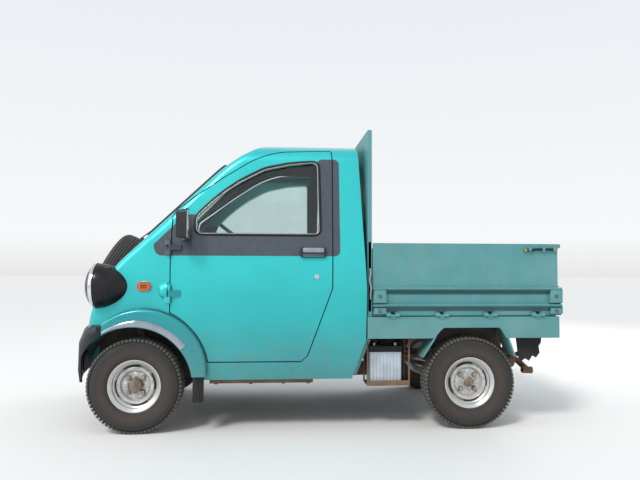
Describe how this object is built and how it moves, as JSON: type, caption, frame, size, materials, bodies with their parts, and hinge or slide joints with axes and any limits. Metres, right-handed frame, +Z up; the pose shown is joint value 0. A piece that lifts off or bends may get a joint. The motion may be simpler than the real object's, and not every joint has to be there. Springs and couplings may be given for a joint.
{
  "type": "kei truck",
  "caption": "Micro kei pickup with a one-box cab, spare wheel on its sloping nose, and a short load bed with drop gates and a cab guard.",
  "frame": {"origin": "on the ground, midway along and across the truck", "axes": "-X forward, -Y towards the truck's left side, +Z up; wheels turn about Y"},
  "size_m": [2.7899, 1.52, 1.663],
  "materials": {
    "paint_cab": "bright turquoise metallic paint, worn",
    "paint_bed": "faded turquoise paint, matt",
    "glass": "clear flat glass, slightly green",
    "underbody": "body paint, dusty",
    "bumper_plastic": "moulded black plastic, satin",
    "black_plastic": "black plastic",
    "lamp_lens": "clear ribbed lens",
    "amber_lens": "amber lens",
    "red_lens": "red lens",
    "dash_plastic": "grained dark grey plastic",
    "seat_cloth": "woven grey cloth",
    "chassis_paint": "black chassis paint with dust and rust",
    "cast_metal": "cast metal, oily",
    "battery_case": "pale blue-grey case with a black lid",
    "rusty_steel": "rusted steel",
    "black_rubber": "black sheet rubber",
    "tyre_rubber": "dusty black rubber",
    "rim_paint": "silver painted steel, dirty"
  },
  "bodies": {
    "root": {"cab_shell": "paint_cab", "front_fenders": "paint_cab", "cab_glass": "glass", "cab_floor": "underbody", "front_bumper": "bumper_plastic", "headlamp_pods": "black_plastic", "headlamp_lenses": "lamp_lens", "turn_lamps": "amber_lens", "dashboard": "dash_plastic", "seat_cushions": "seat_cloth", "seat_backs": "seat_cloth", "front_suspension": "chassis_paint", "ladder_frame": "chassis_paint", "rear_axle": "chassis_paint", "engine_block": "cast_metal", "bed_floor": "paint_bed", "headboard_guard": "paint_bed", "tail_lamps": "red_lens", "battery": "battery_case", "battery_tray": "rusty_steel", "fuel_tank": "black_plastic", "exhaust": "rusty_steel", "mud_flaps": "black_rubber", "spare_tyre": "tyre_rubber", "spare_rim": "rim_paint"},
    "door_left": {"door_left": "paint_cab", "door_left_glass": "glass", "door_left_fittings": "black_plastic"},
    "door_right": {"door_right": "paint_cab", "door_right_glass": "glass", "door_right_fittings": "black_plastic"},
    "side_gate_left": {"side_gate_left": "paint_bed"},
    "side_gate_right": {"side_gate_right": "paint_bed"},
    "tailgate": {"tailgate": "paint_bed"},
    "steering_wheel": {"steering_wheel": "black_plastic"},
    "knuckle_left": {"knuckle_left": "chassis_paint"},
    "knuckle_right": {"knuckle_right": "chassis_paint"},
    "wheel_front_left": {"tyre_front_left": "tyre_rubber", "rim_front_left": "rim_paint"},
    "wheel_front_right": {"tyre_front_right": "tyre_rubber", "rim_front_right": "rim_paint"},
    "wheel_rear_left": {"tyre_rear_left": "tyre_rubber", "rim_rear_left": "rim_paint"},
    "wheel_rear_right": {"tyre_rear_right": "tyre_rubber", "rim_rear_right": "rim_paint"}
  },
  "joints": [
    {"name": "door_left_hinge", "type": "hinge", "parent": "root", "child": "door_left", "pos_m": [-0.808, -0.632, 0.877], "axis": [0, 0, -1], "range_deg": [0, 65]},
    {"name": "door_right_hinge", "type": "hinge", "parent": "root", "child": "door_right", "pos_m": [-0.808, 0.632, 0.877], "axis": [0, 0, 1], "range_deg": [0, 65]},
    {"name": "side_gate_left_hinge", "type": "hinge", "parent": "root", "child": "side_gate_left", "pos_m": [0.818, -0.637, 0.632], "axis": [1, 0, 0], "range_deg": [0, 170]},
    {"name": "side_gate_right_hinge", "type": "hinge", "parent": "root", "child": "side_gate_right", "pos_m": [0.818, 0.637, 0.632], "axis": [-1, 0, 0], "range_deg": [0, 170]},
    {"name": "tailgate_hinge", "type": "hinge", "parent": "root", "child": "tailgate", "pos_m": [1.389, 0, 0.632], "axis": [0, 1, 0], "range_deg": [0, 170]},
    {"name": "steering", "type": "hinge", "parent": "root", "child": "steering_wheel", "pos_m": [-0.475, 0.265, 1.071], "axis": [0.6115, 0, 0.7912], "range_deg": [-540, 540]},
    {"name": "kingpin_left", "type": "hinge", "parent": "root", "child": "knuckle_left", "pos_m": [-0.993, -0.438, 0.254], "axis": [0, 0, 1], "range_deg": [-35, 35]},
    {"name": "kingpin_right", "type": "hinge", "parent": "root", "child": "knuckle_right", "pos_m": [-0.993, 0.438, 0.254], "axis": [0, 0, 1], "range_deg": [-35, 35]},
    {"name": "wheel_front_left_spin", "type": "hinge", "parent": "knuckle_left", "child": "wheel_front_left", "pos_m": [-0.993, -0.54, 0.254], "axis": [0, 1, 0], "continuous": true},
    {"name": "wheel_front_right_spin", "type": "hinge", "parent": "knuckle_right", "child": "wheel_front_right", "pos_m": [-0.993, 0.54, 0.254], "axis": [0, 1, 0], "continuous": true},
    {"name": "wheel_rear_left_spin", "type": "hinge", "parent": "root", "child": "wheel_rear_left", "pos_m": [0.847, -0.54, 0.254], "axis": [0, 1, 0], "continuous": true},
    {"name": "wheel_rear_right_spin", "type": "hinge", "parent": "root", "child": "wheel_rear_right", "pos_m": [0.847, 0.54, 0.254], "axis": [0, 1, 0], "continuous": true}
  ],
  "couplings": [
    {"joint": "kingpin_left", "follows": "steering", "ratio": 0.0648},
    {"joint": "kingpin_right", "follows": "steering", "ratio": 0.0648}
  ]
}
